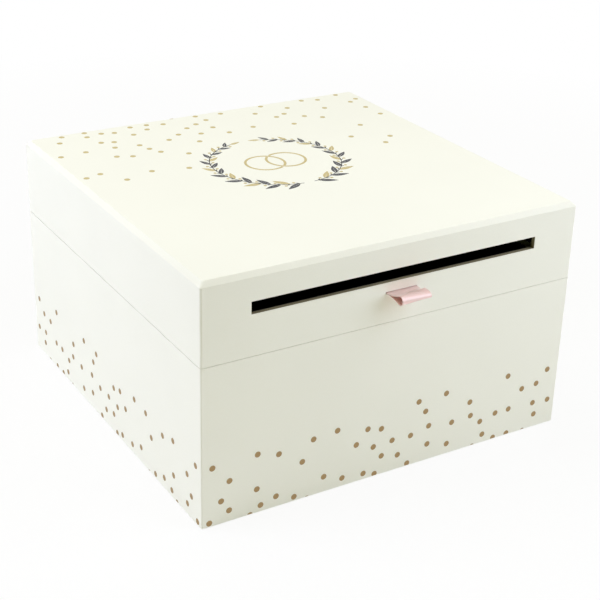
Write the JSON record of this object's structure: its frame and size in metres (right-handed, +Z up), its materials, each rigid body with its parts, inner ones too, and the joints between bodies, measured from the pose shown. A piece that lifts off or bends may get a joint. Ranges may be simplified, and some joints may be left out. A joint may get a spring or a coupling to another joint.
{
  "type": "wedding card box",
  "caption": "Square paper-wrapped card box with a flush hinged lid, a long card slot in the lid's front wall and a pink ribbon pull for lifting the lid.",
  "frame": {"origin": "middle of the underside that the closed box stands on", "axes": "+Z up, the front wall with the card slot faces -Y, +X to the right seen from the front"},
  "size_m": [0.3, 0.3184, 0.18],
  "materials": {
    "cream_paper": "matt printed",
    "greyboard": "raw pressed board",
    "kraft_tape": "gummed paper",
    "charcoal_lining": "matt",
    "neck_board": "matt paper-covered",
    "pink_ribbon": "satin",
    "gold_foil": "hot-foil print"
  },
  "bodies": {
    "base": {"base_bottom_board": "greyboard", "base_front_board": "greyboard", "base_back_board": "greyboard", "base_left_board": "greyboard", "base_right_board": "greyboard", "base_tape_front_left": "kraft_tape", "base_tape_front_right": "kraft_tape", "base_tape_back_left": "kraft_tape", "base_tape_back_right": "kraft_tape", "base_wrap": "cream_paper", "base_wall_lining": "charcoal_lining", "base_floor_lining": "charcoal_lining", "base_underside_sheet": "cream_paper", "neck_front": "neck_board", "neck_left": "neck_board", "neck_right": "neck_board", "hinge_strip": "cream_paper", "stay_ribbon_left": "pink_ribbon", "stay_ribbon_right": "pink_ribbon"},
    "lid": {"lid_top_board": "greyboard", "lid_front_board": "greyboard", "lid_back_board": "greyboard", "lid_left_board": "greyboard", "lid_right_board": "greyboard", "lid_tape_front_left": "kraft_tape", "lid_tape_front_right": "kraft_tape", "lid_tape_back_left": "kraft_tape", "lid_tape_back_right": "kraft_tape", "lid_wrap": "cream_paper", "lid_wall_lining": "charcoal_lining", "lid_top_lining": "charcoal_lining", "pull_patch": "charcoal_lining"},
    "pull": {"pull_ribbon": "pink_ribbon"}
  },
  "joints": [
    {"name": "lid_hinge", "type": "hinge", "parent": "base", "child": "lid", "pos_m": [0, 0.15, 0.121], "axis": [-1, 0, 0], "range_deg": [0, 105], "deforming": ["hinge_strip", "stay_ribbon_left", "stay_ribbon_right"]},
    {"name": "pull_bend", "type": "hinge", "parent": "lid", "child": "pull", "pos_m": [0.001, -0.15, 0.1433], "axis": [-1, 0, 0], "range_deg": [-20, 60], "stiffness_Nm_per_rad": 0.002, "deforming": ["pull_ribbon"]}
  ]
}
